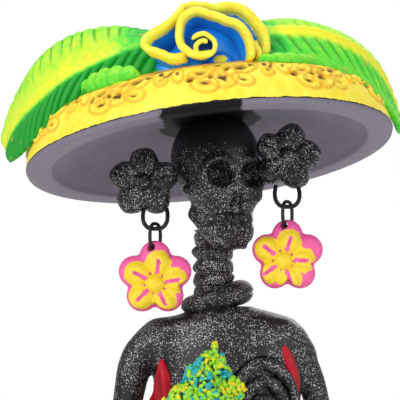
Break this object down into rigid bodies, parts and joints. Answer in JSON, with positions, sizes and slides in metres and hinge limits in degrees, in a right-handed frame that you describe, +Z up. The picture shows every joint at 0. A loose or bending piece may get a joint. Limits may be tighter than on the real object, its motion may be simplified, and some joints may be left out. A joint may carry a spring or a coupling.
{
  "type": "papier-mache catrina figure",
  "caption": "Standing skeleton lady figurine with a wide plumed hat, wire-hung flower earrings, long skirt and a small bouquet.",
  "frame": {"origin": "on the underside of the base board, below the armature wire's middle to 2 mm", "axes": "+Z up, the figure faces -Y, +X to the viewer's right"},
  "size_m": [0.1245, 0.1228, 0.3174],
  "materials": {
    "black_paste": "semi-gloss black paint with silver glitter",
    "hat_yellow": "yellow paint, ochre in the hollows, satin",
    "leaf_green": "green paint dry-brushed with lime yellow",
    "rose_blue": "blue paint with yellow rims",
    "pendant_pink": "pink paint with yellow petal faces",
    "dress_red": "satin red paint",
    "bouquet_mix": "dabs of yellow, lime and turquoise paint",
    "stem_green": "dark green paint",
    "black_wire": "black annealed wire",
    "board_black": "black painted board"
  },
  "bodies": {
    "figure": {"torso": "black_paste", "rib_upper": "black_paste", "rib_middle": "black_paste", "rib_lower": "black_paste", "upper_arm_left": "black_paste", "upper_arm_right": "black_paste", "forearm_left": "black_paste", "forearm_right": "black_paste", "hand_left": "black_paste", "hand_right": "black_paste", "neck_column": "black_paste", "neck_roll": "black_paste", "skull": "black_paste", "ear_flower_left": "black_paste", "ear_flower_right": "black_paste", "hat_brim": "hat_yellow", "hat_flower_01": "hat_yellow", "hat_flower_02": "hat_yellow", "hat_flower_03": "hat_yellow", "hat_flower_04": "hat_yellow", "hat_flower_05": "hat_yellow", "hat_flower_06": "hat_yellow", "hat_flower_07": "hat_yellow", "hat_flower_08": "hat_yellow", "hat_flower_09": "hat_yellow", "plume_left": "leaf_green", "plume_right": "leaf_green", "hat_leaf_left": "leaf_green", "hat_leaf_right": "leaf_green", "rose_base": "rose_blue", "rose_petal_left": "rose_blue", "rose_petal_right": "rose_blue", "rose_petal_back": "rose_blue", "rose_petal_wrap": "rose_blue", "rose_heart": "rose_blue", "skirt_shell": "dress_red", "skirt_ruffle_lower": "dress_red", "skirt_ruffle_upper": "dress_red", "waist_sash": "dress_red", "dress_bodice": "dress_red", "dress_panel_right": "dress_red", "bouquet_flowers": "bouquet_mix", "bouquet_stems": "stem_green", "armature_wire": "black_wire", "staple_left": "black_wire", "staple_right": "black_wire", "base_board": "board_black"},
    "link_left": {"earring_link_left": "black_wire"},
    "pendant_left": {"earring_flower_left": "pendant_pink"},
    "link_right": {"earring_link_right": "black_wire"},
    "pendant_right": {"earring_flower_right": "pendant_pink"}
  },
  "joints": [
    {"name": "earring_swing_left", "type": "hinge", "parent": "figure", "child": "link_left", "pos_m": [-0.017, -0.0082, 0.2516], "axis": [1, 0, 0], "range_deg": [-45, 12]},
    {"name": "pendant_sway_left", "type": "hinge", "parent": "link_left", "child": "pendant_left", "pos_m": [-0.017, -0.0082, 0.24584], "axis": [0.5299, 0.848, 0], "range_deg": [-18, 18]},
    {"name": "earring_swing_right", "type": "hinge", "parent": "figure", "child": "link_right", "pos_m": [0.0214, -0.0082, 0.258], "axis": [1, 0, 0], "range_deg": [-45, 3]},
    {"name": "pendant_sway_right", "type": "hinge", "parent": "link_right", "child": "pendant_right", "pos_m": [0.0214, -0.0082, 0.25224], "axis": [0.5299, 0.848, 0], "range_deg": [-18, 1]}
  ]
}
